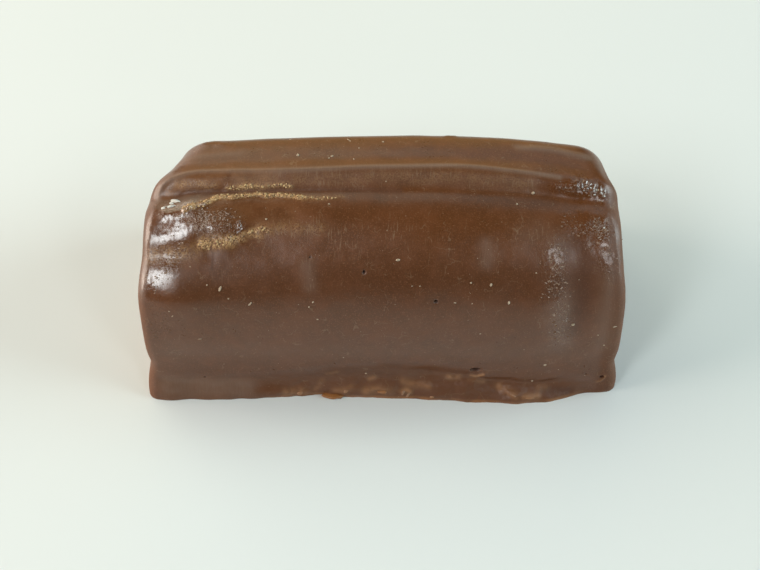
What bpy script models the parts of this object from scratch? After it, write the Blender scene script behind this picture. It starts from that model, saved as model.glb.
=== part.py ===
"""A milk chocolate praline: a short log with a half-round back, a raised double ridge and a set foot.

The log lies along X with its flat base on the ground. The photographed side faces -Y and +Z is up.
Every cross-section is a radius that changes with the angle about the base's middle line, so the whole
coating is one grid, wrapped over the log from the front foot to the back foot and closed below.
"""

import math

import bmesh
import bpy
from mathutils import Vector, noise

MM = 0.001

# The log: upright walls under a half-round back, which sags a little towards both ends.
LENGTH = 41.2 * MM
ARCH_RADIUS = 10.3 * MM
ARCH_CENTRE_HEIGHT = 7.5 * MM
CROWN_HEIGHT = ARCH_RADIUS + ARCH_CENTRE_HEIGHT
SAG_MIDDLE = 3.0 * MM
SAG_LEFT = 0.85 * MM
SAG_RIGHT = 2.4 * MM

# The far flank is flatter than the near one: the place around it, in degrees, its reach and its depth.
FAR_FLAT_AT = 115.0
FAR_FLAT_REACH = 14.0
FAR_FLAT_DEPTH = 0.6 * MM

# The raised band along the top, measured across the crown. Negative is towards the front.
BAND_HEIGHT = 0.95 * MM
BAND_FRONT = -2.45 * MM
BAND_FRONT_EDGE = 1.55 * MM
BAND_BACK = 3.1 * MM
BAND_BACK_EDGE = 1.9 * MM
BAND_SPREAD_LEFT = 0.2 * MM
BAND_SPREAD_RIGHT = 0.75 * MM
BACK_LIP_AT = 2.9 * MM
BACK_LIP_HEIGHT = 0.15 * MM
BACK_LIP_WIDTH = 0.9 * MM
VALLEY_AT = 0.2 * MM
VALLEY_DEPTH = 0.22 * MM
VALLEY_WIDTH = 0.8 * MM
CREASE_AT = -2.4 * MM
CREASE_DEPTH = 0.22 * MM
CREASE_WIDTH = 0.6 * MM

# The foot, where the coating ran down and set on the tray: it is higher in the middle, where it is
# hollow and ragged, and it runs out furthest to the right of that.
FOOT_HEIGHT = 2.75 * MM
FOOT_OUT = 0.85 * MM
HOLLOW_AT = 1.5 * MM
HOLLOW_WIDTH = 8.0 * MM
HOLLOW_RISE = 1.35 * MM
HOLLOW_DEPTH = 0.45 * MM
SET_BACK_AT = -6.0 * MM
SET_BACK_WIDTH = 5.0 * MM
SET_BACK = 0.4 * MM
RUN_OUT_AT = 11.5 * MM
RUN_OUT_WIDTH = 5.0 * MM
RUN_OUT = 0.5 * MM
RUN_OUT_DIP = 0.6 * MM
NO_FOOT_FROM = 14.5 * MM
NO_FOOT_WIDTH = 3.5 * MM
END_FOOT_OUT = 0.3 * MM
END_NOTCH_AT = 3.7 * MM
END_NOTCH_WIDTH = 0.9 * MM
END_NOTCH_DEPTH = 0.2 * MM
RAGGED = 0.22 * MM
RAGGED_SCALE = 2.2 * MM

# The ends: each wall leans in towards the top and the back, most on the left, and its edge is rounded.
TOP_INSET = 0.5 * MM
TOP_INSET_FROM = 11.0 * MM
TOP_INSET_RISE = 6.0 * MM
LEAN_LEFT = 2.4 * MM
LEAN_RIGHT = 0.8 * MM
LEAN_FROM = Vector((0.0, -3.6, 3.0)) * MM
LEAN_REACH = Vector((0.0, 7.0, 10.0)) * MM
EDGE_ROUNDING = 1.0 * MM
BACK_ROUNDING = 3.0 * MM
END_BULGE = 0.25 * MM

# Gentle dents (+) and swellings (-) of the skin, as the place along the log, the place around it in
# degrees from the front foot, the reach each way, and the depth.
DENTS = (
    (-11.0 * MM, 68.0, 6.0 * MM, 7.0, 0.30 * MM),
    (-14.5 * MM, 51.0, 4.5 * MM, 6.0, -0.30 * MM),
    (-17.0 * MM, 36.0, 3.0 * MM, 7.0, -0.22 * MM),
    (16.0 * MM, 44.0, 1.6 * MM, 14.0, 0.28 * MM),
    (13.0 * MM, 47.0, 1.6 * MM, 9.0, -0.18 * MM),
    (8.0 * MM, 130.0, 6.0 * MM, 12.0, 0.25 * MM),
    (-7.0 * MM, 150.0, 5.0 * MM, 10.0, -0.20 * MM),
)

# The grid that carries the shape.
ROWS = 60
BODY_COLUMNS = 56
ROUNDING_COLUMNS = 5
FACE_COLUMNS = 7
ROW_CROWDING = 0.55


def rise(value, start, width):
    """0 up to the start, 1 past the start and width, and a smooth rise between."""
    t = min(1.0, max(0.0, (value - start) / width))
    return t * t * (3.0 - 2.0 * t)


def hump(value, middle, width):
    """A smooth bump of height 1 at the middle, which has died away two widths from it."""
    return math.exp(-(((value - middle) / width) ** 2))


def ragged(x, height):
    """An uneven amount from about -1 to 1, the same for the same place."""
    return noise.fractal(Vector((x, 0.0, height)) / RAGGED_SCALE, 0.8, 2.2, 3)


def arch(angle):
    """Distance from the base's middle line to the upright walls and half-round back."""
    across, up = math.cos(angle), math.sin(angle)
    if up * ARCH_RADIUS < abs(across) * ARCH_CENTRE_HEIGHT:
        return ARCH_RADIUS / abs(across)
    return ARCH_CENTRE_HEIGHT * up + math.sqrt(ARCH_RADIUS**2 - (ARCH_CENTRE_HEIGHT * across) ** 2)


def sag(x):
    """How far the back sinks towards the ends."""
    reach = (x - SAG_MIDDLE) / (LENGTH / 2)
    return (SAG_LEFT if reach < 0 else SAG_RIGHT) * reach**2


def band_spread(x):
    """How far each edge of the band moves out towards the ends."""
    reach = (x - SAG_MIDDLE) / (LENGTH / 2)
    return (BAND_SPREAD_LEFT if reach < 0 else BAND_SPREAD_RIGHT) * abs(reach)


def band(across, x):
    """The raised band on the top: a front edge with a crease under it, two crests and a back edge."""
    spread = band_spread(x)
    front = rise(across, BAND_FRONT - spread, BAND_FRONT_EDGE)
    back = 1.0 - rise(across, BAND_BACK + 0.5 * spread, BAND_BACK_EDGE)
    valley = VALLEY_DEPTH * hump(across, VALLEY_AT, VALLEY_WIDTH + spread)
    crease = CREASE_DEPTH * hump(across, CREASE_AT - spread, CREASE_WIDTH)
    lip = BACK_LIP_HEIGHT * hump(across, BACK_LIP_AT, BACK_LIP_WIDTH)
    return BAND_HEIGHT * front * back - valley - crease + lip


def foot_height(x):
    """Height of the line where the wall ends and the foot begins."""
    hollow = HOLLOW_RISE * hump(x, HOLLOW_AT, HOLLOW_WIDTH)
    return FOOT_HEIGHT + hollow - RUN_OUT_DIP * hump(x, RUN_OUT_AT, RUN_OUT_WIDTH)


def foot_reach(x):
    """How far the foot stands out at the tray."""
    reach = FOOT_OUT - SET_BACK * hump(x, SET_BACK_AT, SET_BACK_WIDTH)
    reach += RUN_OUT * hump(x, RUN_OUT_AT, RUN_OUT_WIDTH)
    return reach - FOOT_OUT * rise(x, NO_FOOT_FROM, NO_FOOT_WIDTH)


def foot(x, height):
    """How far the skin stands out beyond the wall, at a height above the tray."""
    top = foot_height(x)
    spread = foot_reach(x) * (1.0 - rise(height, 0.0, 0.75 * top))
    hollow = HOLLOW_DEPTH * hump(x, HOLLOW_AT, HOLLOW_WIDTH) * hump(height, 0.6 * top, 0.3 * top)
    rough = RAGGED * ragged(x, height) * (1.0 - rise(height, 0.5 * top, 0.5 * top))
    return spread - hollow + rough


def dents(x, degrees):
    """How far the gentle dents and swellings move the skin in."""
    return sum(
        depth * hump(x, x_at, x_reach) * hump(degrees, turn_at, turn_reach)
        for x_at, turn_at, x_reach, turn_reach, depth in DENTS
    )


def skin_radius(angle, x):
    """Distance from the base's middle line to the coated skin. The back foot is the front one turned."""
    radius = arch(angle)
    height = radius * math.sin(angle)
    upper = rise(height, 0.0, CROWN_HEIGHT)
    radius += band((angle - math.pi / 2) * CROWN_HEIGHT, x)
    radius -= FAR_FLAT_DEPTH * hump(math.degrees(angle), FAR_FLAT_AT, FAR_FLAT_REACH)
    radius += foot(x if angle < math.pi / 2 else -x, height)
    return radius - sag(x) * upper - dents(x, math.degrees(angle))


def end_inset(side, y, z):
    """How far the wall of an end stands in from the full length, at a place across and up that end."""
    lean = (LEAN_LEFT if side < 0 else LEAN_RIGHT) * rise(z, LEAN_FROM.z, LEAN_REACH.z)
    return TOP_INSET * rise(z, TOP_INSET_FROM, TOP_INSET_RISE) + lean * rise(y, LEAN_FROM.y, LEAN_REACH.y)


def edge_rounding(angle):
    """Radius of the edge between the skin and an end."""
    return EDGE_ROUNDING + (BACK_ROUNDING - EDGE_ROUNDING) * rise(math.degrees(angle), 70.0, 30.0)


def end_wall(side, y, z):
    """Distance from the middle to an end wall, which leans in and stands on a foot with a notch over it."""
    foot_in = END_FOOT_OUT * rise(z, 0.3 * FOOT_HEIGHT, FOOT_HEIGHT)
    notch = END_NOTCH_DEPTH * hump(z, END_NOTCH_AT, END_NOTCH_WIDTH)
    return LENGTH / 2 - foot_in - notch - end_inset(side, y, z)


def stations():
    """What each column of the grid is: (side, part, share of the way along that part)."""
    cap = [("round", (i + 1) / ROUNDING_COLUMNS) for i in range(ROUNDING_COLUMNS)]
    cap += [("face", (i + 1) / FACE_COLUMNS) for i in range(FACE_COLUMNS)]
    body = [(0, "body", i / BODY_COLUMNS) for i in range(BODY_COLUMNS + 1)]
    return [(-1, *step) for step in reversed(cap)] + body + [(1, *step) for step in cap]


def edge(side, angle):
    """Where the skin turns over onto an end: how far along it stops, and its radius there."""
    out = arch(angle)
    along = end_wall(side, -out * math.cos(angle), out * math.sin(angle)) - edge_rounding(angle)
    return along, skin_radius(angle, side * along)


def place(side, part, share, angle):
    """The point of the skin at a station of the grid and an angle about the base's middle line."""
    if part == "body":
        left, right = -edge(-1, angle)[0], edge(1, angle)[0]
        x = left + (right - left) * share
        radius = skin_radius(angle, x)
        return Vector((x, -radius * math.cos(angle), radius * math.sin(angle)))

    rounding = edge_rounding(angle)
    along, rim = edge(side, angle)
    turn = share * math.pi / 2
    if part == "round":
        radius = rim - rounding * (1.0 - math.cos(turn))
        y, z = -radius * math.cos(angle), radius * math.sin(angle)
        x = along + rounding * math.sin(turn)
    else:
        radius = (rim - rounding) * (1.0 - share)
        y, z = -radius * math.cos(angle), radius * math.sin(angle)
        bulge = END_BULGE * math.sin(math.pi * share) * math.sin(angle)
        settled = rise(share, 0.0, 0.4)
        x = (along + rounding) * (1.0 - settled) + end_wall(side, y, z) * settled + bulge
    return Vector((side * min(x, LENGTH / 2), y, z))


def wrap_grid(bm):
    """A grid primitive, wrapped over the log row by row and column by column."""
    columns = stations()
    bmesh.ops.create_grid(bm, x_segments=len(columns) - 1, y_segments=ROWS, size=1.0)
    for vertex in bm.verts:
        column = round((vertex.co.x + 1.0) / 2.0 * (len(columns) - 1))
        turn = (vertex.co.y + 1.0) / 2.0
        crowded = turn - ROW_CROWDING * math.sin(4.0 * math.pi * turn) / (4.0 * math.pi)
        vertex.co = place(*columns[column], math.pi * crowded)


def close_base(bm):
    """Sets the rim on the ground, joins the skin at its two poles and fills the base."""
    for vertex in bm.verts:
        if vertex.is_boundary:
            vertex.co.z = 0.0
    bmesh.ops.remove_doubles(bm, verts=bm.verts, dist=0.01 * MM)
    bmesh.ops.holes_fill(bm, edges=[e for e in bm.edges if e.is_boundary])
    bmesh.ops.recalc_face_normals(bm, faces=bm.faces)


def chocolate():
    """The milk chocolate of the coating."""
    material = bpy.data.materials.new("milk_chocolate")
    material.use_nodes = True
    shader = material.node_tree.nodes["Principled BSDF"]
    shader.inputs["Base Color"].default_value = (0.13, 0.055, 0.028, 1.0)
    shader.inputs["Roughness"].default_value = 0.38
    shader.inputs["Metallic"].default_value = 0.0
    return material


def main():
    for leftover in list(bpy.data.objects):
        bpy.data.objects.remove(leftover, do_unlink=True)
    collection = bpy.data.collections.new("praline_chocolate")
    bpy.context.scene.collection.children.link(collection)

    bm = bmesh.new()
    wrap_grid(bm)
    close_base(bm)
    mesh = bpy.data.meshes.new("praline")
    bm.to_mesh(mesh)
    bm.free()
    mesh.materials.append(chocolate())
    mesh.shade_smooth()
    mesh.set_sharp_from_angle(angle=math.radians(50))
    praline = bpy.data.objects.new("praline", mesh)
    collection.objects.link(praline)


main()
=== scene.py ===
"""The looks of a milk chocolate praline: its coating, crumbs and flakes, on a pale table in soft light.

The coating starts as the solid's own skin, which is made finer and then worked like the real one:
lips and dents where the chocolate folded, wrinkles at the ends, pinholes, and an uneven foot.
Whatever belongs to one spot is placed by the photograph's pixel, which is cast onto that skin.
"""

import math

import bmesh
import bpy
import numpy as np
from mathutils import Matrix, Vector, noise
from mathutils.bvhtree import BVHTree
from mathutils.geometry import interpolate_bezier


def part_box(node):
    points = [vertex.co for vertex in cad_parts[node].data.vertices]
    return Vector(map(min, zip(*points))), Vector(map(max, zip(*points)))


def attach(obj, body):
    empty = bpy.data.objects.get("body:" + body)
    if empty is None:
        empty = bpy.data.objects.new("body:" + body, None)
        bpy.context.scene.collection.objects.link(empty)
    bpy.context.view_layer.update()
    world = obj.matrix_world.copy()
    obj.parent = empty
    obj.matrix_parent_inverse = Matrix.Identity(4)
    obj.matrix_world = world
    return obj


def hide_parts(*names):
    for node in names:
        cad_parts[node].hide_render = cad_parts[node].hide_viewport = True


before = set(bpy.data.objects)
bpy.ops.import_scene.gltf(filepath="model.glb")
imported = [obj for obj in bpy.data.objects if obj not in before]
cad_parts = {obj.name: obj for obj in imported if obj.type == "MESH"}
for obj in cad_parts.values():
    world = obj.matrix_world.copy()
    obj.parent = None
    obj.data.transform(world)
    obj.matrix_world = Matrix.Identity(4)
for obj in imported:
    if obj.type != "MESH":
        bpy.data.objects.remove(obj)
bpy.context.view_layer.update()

MM = 0.001
TINY = 0.001 * MM
BODY = "root"
NODE = "praline"
LOW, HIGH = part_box(NODE)

# The camera stands where the photograph's did. Pixels are those of its 760 by 570 frame.
PHOTO_WIDTH, PHOTO_HEIGHT = 760, 570
FOCAL_PIXELS = 1283.0
SENSOR = 36.0
CAMERA_ELEVATION = math.radians(50.0)
CAMERA_DISTANCE = 120.0 * MM
LOOK_AT = Vector((-0.24, 1.18, 0.99)) * MM

# The lights: a lamp at each side of the camera, and soft panes of daylight round and over the chocolate.
# Azimuth 0 is to its right and 90 behind it. Sizes are in metres and powers in watts. The lamps are
# upright rectangles, and the panes are squares.
LIGHT_DISTANCE = 600.0 * MM
PANE_SIZE = 0.42
LIGHTS = {
    "left_lamp": dict(azimuth=229, elevation=40, size=0.13, height=0.22, power=0.84, colour=(0.96, 1, 1)),
    "right_lamp": dict(azimuth=307, elevation=39, size=0.09, height=0.13, power=0.3, colour=(1, 1, 1)),
    "left": dict(azimuth=180, elevation=20, power=3.7, colour=(1.0, 0.89, 0.78)),
    "left_front": dict(azimuth=208, elevation=20, power=0.3, colour=(0.95, 0.95, 0.9)),
    "left_behind": dict(azimuth=135, elevation=20, power=1.15, colour=(0.97, 0.91, 0.78)),
    "over_behind": dict(azimuth=120, elevation=55, power=0.63, colour=(0.98, 1.0, 0.76)),
    "behind": dict(azimuth=90, elevation=20, power=0.45, colour=(1.0, 0.68, 0.3)),
    "right_over": dict(azimuth=60, elevation=55, power=0.34, colour=(0.56, 0.88, 1.0)),
    "right": dict(azimuth=0, elevation=20, power=3.45, colour=(0.8, 0.97, 1.0)),
    "right_front": dict(azimuth=325, elevation=20, power=0.15, colour=(0.2, 0.7, 1.0)),
}
ROOM_COLOUR, ROOM_STRENGTH = (0.9, 0.96, 1.0), 0.02

# How finely the skin is divided: all over, again where it is crumpled, torn, worn (partly a painted
# highlight) or strongly bloomed (partly a painted sheen), and again round each pinhole. What is divided is
# then smoothed, apart from the edge on the table.
SKIN_LEVELS = 2
DETAIL_CUTS = 1
DETAIL_FROM = 0.56
BLOOM_AND_SHEEN_LEFT_COARSE = 0.6
PIT_CUTS = 2
PIT_REACH, PIT_MARGIN = 1.8, 0.1 * MM
SMOOTHINGS, SMOOTHING = 3, 0.5
BASE_EDGE = 0.2 * MM

# The skin's own unevenness: slow waves all over, wrinkles at the ends, away from the table and the crown,
# and a crumpled leather in places. Its very ends are dull.
WAVE_SIZE, WAVE_HEIGHT = 4.5 * MM, 0.05 * MM
WRINKLE_SIZE, WRINKLE_HEIGHT = 0.9 * MM, 0.02 * MM
CRUMPLE_SIZE, CRUMPLE_HEIGHT = 0.36 * MM, 0.006 * MM
CRUMBLY_SIZE = 0.33 * MM
WRINKLED_FROM, WRINKLED_FULLY = 12.0 * MM, 18.5 * MM
WRINKLED_ABOVE, WRINKLED_BELOW = (5.0 * MM, 9.0 * MM), (15.5 * MM, 17.5 * MM)
ENDS_WRINKLED = 0.3
DULL_MIDDLE = -0.6 * MM
DULL_FROM, DULL_FULLY = 18.7 * MM, 19.8 * MM

# The uneven foot: its line above the table rises in the middle, as in the solid. It is torn below that
# line along the front, and a little all round, and has a rim on the table.
FOOT_LINE, FOOT_LINE_RISE = 2.7 * MM, 1.3 * MM
FOOT_LINE_AT, FOOT_LINE_WIDTH = 1.5 * MM, 8.0 * MM
FOOT_LINE_FADE = 0.5, 1.05
FOOT_FRONT = 6.0 * MM, 8.0 * MM
TORN_FROM, TORN_TO, TORN_FADE = -8.0 * MM, 15.0 * MM, 3.0 * MM
TORN_ALL_ROUND = 0.15
RIM_FADE = 0.12 * MM, 0.42 * MM
LUMP_SIZE, LUMP_HEIGHT = 1.8 * MM, 0.13 * MM
LUMP_SQUEEZE, LUMP_SINK = (0.6, 1.0, 1.0), 0.3
FLECK_SIZE, FLECK_HEIGHT = 0.5 * MM, 0.03 * MM

# The seeds of each kind of unevenness.
SEEDS = dict(crumbly=7.3, wrinkles=3.1, crumples=9.4, lumps=11.0, flecks=2.2)

# What a mark can carry beside its shape, each a mask that the material reads: a crumbly golden wear that
# is partly a painted highlight, a leathery crumple, a sharper one as in foil, gloss, a grey bloom that in
# places is a painted highlight, sheen and reflection, fine scratches, painted shade, and bare tan
# chocolate, in places painted light.
FINISHES = ("worn", "wrinkled", "foil", "gloss", "bloom", "scratched", "shade", "tan")

# How far a mark reaches and how wide its finishes are, in its own widths, and the share of its path in
# which a tapered one fades at each end.
MARK_REACH, FINISH_WIDTH = 4.0, 1.25
TAPER = 0.12


def mark(path, width, height=0.0, crumbly=0.2, tapered=False, **finishes):
    """A mark on the skin: its path, its width and height (or depth) in mm, and what else it carries."""
    return dict(path=path, width=width, height=height, crumbly=crumbly, tapered=tapered, **finishes)


# The marks that the photograph shows, whose paths are pixels.
MARKS = {
    # The bead along the ridge: its pale line along the crest is a painted highlight.
    "ridge_bead": mark(
        ((159, 200), (160, 192), (163, 185), (169, 180), (177, 176.5), (187, 173.5), (200, 171.5),
         (220, 171), (255, 170.5), (300, 169.5), (330, 168), (360, 166.5), (420, 165.5), (450, 165.5),
         (480, 167), (505, 169.5), (535, 173), (560, 177)),
        0.18, 0.09, crumbly=0.1, tapered=True, bloom=1.5,
    ),
    # The band's left end, painted lighter and warmer as painted light, and a soft golden wear at its
    # corner that is partly a painted highlight.
    "soft_gold_at_corner": mark(((178, 185), (192, 184), (214, 185.5)), 0.25, worn=0.28),
    "painted_light_on_end_of_band": mark(((176, 188), (188, 183), (205, 179), (235, 177), (268, 176)), 0.6, tan=0.3),
    # The curl of the crest at the left end: a painted highlight with a painted lighter tan.
    "inner_curl": mark(((169, 195), (171, 189), (177, 184)), 0.32, 0.02, tan=0.5, bloom=0.3),
    # Painted shade over the lip's left end and in the crease under the ridge.
    "painted_shade_over_lip": mark(((178, 201), (188, 200), (198, 197.5), (210, 195)), 0.22, shade=0.35),
    "crease_under_ridge": mark(
        ((176, 198), (186, 194), (198, 192), (215, 192), (255, 191.5), (300, 191), (345, 191),
         (400, 191)),
        0.22, -0.07, crumbly=0.5, tapered=True, shade=0.35,
    ),
    "grain_on_ridge": mark(
        ((240, 183), (300, 180), (340, 178), (420, 177), (500, 181), (530, 184)),
        0.5, scratched=1.6, bloom=0.2, worn=0.1,
    ),
    # Golden worn lines along the ridge and the lip: crumbly wear that is partly a painted highlight.
    "worn_highlit_edge_of_ridge": mark(
        ((228, 188), (244, 187), (258, 186.5), (272, 185.5), (284, 185), (291, 187)),
        0.17, 0.04, crumbly=1.3, worn=0.7,
    ),
    "lip": mark(
        ((185, 211.5), (194, 208.5), (202, 206), (209, 203), (215, 200), (223, 198), (233, 198),
         (242, 196.5), (258, 195), (268, 196), (280, 195), (302, 197)),
        0.15, 0.14, crumbly=1.7, worn=1.3,
    ),
    "end_of_lip": mark(((298, 197), (322, 198), (342, 197)), 0.16, 0.03, crumbly=1, worn=0.3),
    # The hollow under the lip, painted a lighter tan as painted light.
    "hollow_under_lip": mark(((215, 213), (238, 212), (262, 211), (290, 211)), 0.9, -0.1, tan=0.14),
    "upper_left_gloss": mark(((165, 214.5), (180, 213), (192, 210)), 0.5, 0.15, gloss=1, wrinkled=0.7),
    "left_gloss": mark(((162, 234), (172, 232), (180, 231)), 0.9, gloss=1, wrinkled=0.75),
    "left_foil": mark(
        ((194, 214), (200, 222), (206, 224), (216, 222), (234, 225)),
        0.8, wrinkled=0.9, foil=1, gloss=0.9,
    ),
    "foil_facet": mark(((222, 228), (230, 226)), 1.1, 0.16, crumbly=0.3),
    "left_swelling": mark(((198, 222), (206, 219)), 2.6, 0.42, crumbly=0),
    "lower_left_swelling": mark(((172, 300), (176, 299)), 2.2, 0.36, crumbly=0),
    "curl_by_leather": mark(((236, 233), (240, 228), (239, 223)), 0.13, 0.08, wrinkled=0.8),
    "left_fold": mark(((148, 256), (168, 256), (190, 254), (206, 251)), 1, -0.22, crumbly=0),
    "flecks_on_fold": mark(((152, 254), (168, 254), (190, 252)), 0.6, wrinkled=0.5, foil=0.4, worn=0.3),
    "lower_left_leather": mark(
        ((149, 286), (155, 279), (163, 272), (172, 268)), 0.75, gloss=1, wrinkled=0.65,
    ),
    # The golden worn patch and lips of the shoulder, partly a painted highlight.
    "shoulder_patch": mark(
        ((203, 244), (212, 243), (222, 242), (231, 241)), 0.34, 0.07, crumbly=1.5, worn=1.1,
    ),
    "shoulder_lip": mark(
        ((226, 242), (238, 237), (250, 232), (262, 229.5), (270, 230)), 0.15, 0.06, crumbly=1.4, worn=0.5,
    ),
    "end_of_shoulder": mark(
        ((260, 229), (285, 228), (300, 229), (320, 227)),
        0.4, 0.03, crumbly=0.8, worn=0.16, scratched=1,
    ),
    "thin_lip": mark(((236, 243), (248, 238), (262, 236)), 0.1, 0.04, crumbly=1.4, worn=0.4),
    # Fine scratches about the crack, with painted shade in it and beside it.
    "beside_crack": mark(((220, 250), (222, 262), (218, 276)), 0.6, scratched=1, shade=0.08),
    "before_crack": mark(((196, 254), (190, 264)), 0.6, scratched=1),
    "crack": mark(
        ((212, 236), (211.5, 246), (212.5, 256), (212, 268)), 0.07, -0.01, tapered=True, shade=0.5,
    ),
    "scratched_front": mark(((270, 232), (320, 234), (360, 237), (400, 238)), 1.2, scratched=1),
    "left_bloom": mark(((307, 266), (309, 277), (310, 286)), 0.5, bloom=0.5, scratched=1),
    "right_bloom": mark(((486, 245), (488, 254), (487, 263)), 0.5, bloom=0.5, scratched=0.9),
    "faint_bloom": mark(((528, 236), (540, 232), (548, 240)), 0.9, bloom=0.25, scratched=0.5),
    "right_furrow": mark(((573, 238), (578, 262), (577, 290), (570, 322)), 1, -0.1, crumbly=0),
    "shade_in_furrow": mark(((579, 246), (584, 268), (583, 298), (576, 326)), 0.8, shade=0.3),
    # Painted shade under the lip and under the ridge.
    "painted_shade_under_lip": mark(
        ((352, 197), (400, 197), (450, 197), (500, 199), (550, 202)), 0.34, shade=0.16,
    ),
    "painted_shade_under_ridge": mark(((330, 201), (420, 202), (500, 205), (560, 206)), 0.6, shade=0.11),
    # A painted sheen on the lower right edge.
    "painted_sheen_on_right_edge": mark(((607, 280), (607, 310), (605, 345)), 0.75, bloom=0.55),
    # Painted shade across the lower front.
    "painted_shade_over_front": mark(((200, 292), (300, 288), (400, 290), (500, 288), (580, 292)), 2.2, shade=0.19),
    # A painted sheen on the left of the foot.
    "painted_sheen_on_left_foot": mark(((168, 386), (205, 387), (245, 388)), 0.75, bloom=1.3),
    "right_leather": mark(
        ((553, 250), (556, 272), (556, 296), (561, 322), (562, 340)),
        0.95, 0.04, wrinkled=1, foil=0.7, scratched=0.6,
    ),
    "right_shoulder": mark(((578, 187), (588, 190)), 0.8, 0.16, crumbly=0.6, wrinkled=0.6),
    "right_shoulder_gloss": mark(
        ((584, 185), (593, 188), (603, 194)), 0.42, 0.05, crumbly=1.6, wrinkled=1, foil=0.6, gloss=0.7,
    ),
    "by_right_shoulder": mark(((558, 188), (575, 187)), 0.42, 0.05, wrinkled=0.8, foil=0.6, gloss=0.4),
    "right_swelling": mark(((590, 213), (602, 215)), 0.85, 0.16, crumbly=0.3),
    "below_right_swelling": mark(
        ((592, 226), (602, 227), (607, 234)), 0.6, wrinkled=1, foil=0.6, gloss=0.7,
    ),
    "right_edge": mark(((604, 240), (608, 256), (610, 275)), 0.7, 0.04, wrinkled=1, foil=0.6),
    "right_folds": mark(((566, 218), (576, 228), (590, 246)), 0.6, wrinkled=0.7, foil=0.6),
    # Painted highlights along the rear crest and at its right corner.
    "rear_crest_left": mark(
        ((176, 163), (190, 158), (215, 155), (240, 153)), 0.34, 0.03, tapered=True, bloom=0.5,
    ),
    "rear_crest_right": mark(
        ((518, 147), (545, 149), (560, 151), (575, 154.5), (590, 157)),
        0.3, 0.08, tapered=True, bloom=0.9,
    ),
    "rear_corner": mark(((588, 157), (594, 161), (598, 167)), 0.35, bloom=0.5),
    "top_left_bump": mark(((207, 144), (214, 143), (220, 144)), 0.6, 0.12),
    "top_edge_bump": mark(((447, 136), (454, 136)), 0.22, 0.07),
    "lip_over_foot": mark(
        ((172, 372), (215, 373), (258, 372), (300, 368), (345, 363), (400, 361), (450, 361), (480, 366)),
        0.4, 0.03, crumbly=0.4, tapered=True,
    ),
    "soft_over_right_foot": mark(
        ((478, 373), (500, 376), (530, 378), (565, 378)), 0.5, 0.14, tapered=True,
    ),
    # Painted shade at the top of the foot.
    "painted_shade_at_top_of_foot": mark(
        ((312, 375), (335, 372), (360, 372), (392, 374)), 0.28, tapered=True, shade=0.16,
    ),
    # A painted reflection across the front above the foot.
    "painted_reflection_over_foot": mark(((175, 352), (300, 352), (450, 352), (590, 354)), 0.9, bloom=0.24),
    "tan_fold_on_foot": mark(((404, 381), (414, 384), (428, 386)), 0.28, 0.05, tan=0.55),
    "fleck_on_foot": mark(((449, 376), (454, 377), (459, 376)), 0.22, 0.04, tan=0.7),
    "faint_fleck_on_foot": mark(((470, 379), (476, 380), (483, 381)), 0.2, 0.03, tan=0.4),
    "right_fold_on_foot": mark(((500, 387), (508, 391), (516, 396)), 0.28, 0.08, tan=0.7),
    "streak_on_foot": mark(((327, 374), (332, 373), (337, 372)), 0.14, 0.03, tan=0.6),
    "left_tan_patch": mark(((288, 393), (297, 392), (305, 392)), 0.36, 0.06, tan=0.8),
    "tan_by_flake": mark(((336, 391), (344, 391), (350, 388)), 0.3, 0.04, tan=0.5),
    "orange_patch": mark(((366, 391), (378, 390), (390, 392)), 0.34, 0.05, tan=0.7),
    "pale_spots": mark(((402, 393), (406, 391), (409, 393)), 0.24, 0.05, tan=1),
    "faint_patch": mark(((322, 381), (319, 386), (316, 390)), 0.2, 0.02, tan=0.4),
    "speck_above_foot": mark(((370, 379), (374, 377)), 0.2, 0.03, tan=0.6),
    "far_fleck_on_foot": mark(((540, 388), (546, 388)), 0.26, 0.03, tan=0.5),
    "tan_rim": mark(((524, 397), (531, 397), (538, 396)), 0.26, 0.04, tan=0.8),
    "rim_of_pinhole": mark(((471, 374.5), (477, 375.5), (483, 373.5)), 0.13, 0.03, tan=1),
    # Painted shade in the gap under the lifted lip.
    "gap_under_lip": mark(((544, 390), (556, 391), (570, 391)), 0.34, -0.12, shade=0.45),
    "right_foot_lip": mark(((597, 382), (602, 380), (605, 376)), 0.1, 0.05, tan=0.6),
}

# Marks on the far side, which the photograph doesn't show: their paths are places along the log, in mm,
# and around it, in degrees from the near foot.
FAR_MARKS = {
    "far_crease": mark(((-15, 108), (-6, 107), (4, 107.5), (14, 107)), 0.3, -0.08, crumbly=0.5),
    "far_lip": mark(((-13, 113), (-8, 111.5), (-2, 112)), 0.2, 0.08, crumbly=1.2, worn=0.7),
    "far_leather": mark(((12, 122), (16, 125), (18, 132)), 1.1, 0.06, wrinkled=1),
    "far_swelling": mark(((-17, 128), (-14, 126)), 1.2, 0.08, wrinkled=0.8),
    "far_dent": mark(((-7, 134), (1, 137)), 1.7, -0.12),
    "far_bloom": mark(((5, 128), (6, 134)), 0.8, bloom=0.7, scratched=0.6),
    "far_scratches": mark(((-6, 118), (6, 120)), 1.3, scratched=0.8),
}

# Pinholes, where air left the chocolate as it set: pixel, then its reach along and across and its depth
# in mm. Its floor, its rim and the farthest that it acts are shares of that reach.
PIT_FLOOR, PIT_RIM, PIT_LIMIT = 0.35, 1.1, 3.0
# How dark the inside of each pinhole is painted: painted shade.
PIT_SHADE = 1.6
PINHOLES = (
    (364, 272, 0.15, 0.15, 0.25), (310, 257, 0.09, 0.09, 0.14), (436, 302, 0.19, 0.16, 0.32),
    (475.5, 370, 0.52, 0.34, 0.46), (205, 377, 0.13, 0.09, 0.12), (602, 377, 0.24, 0.18, 0.22),
    (586, 374, 0.1, 0.09, 0.1),
)

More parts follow.
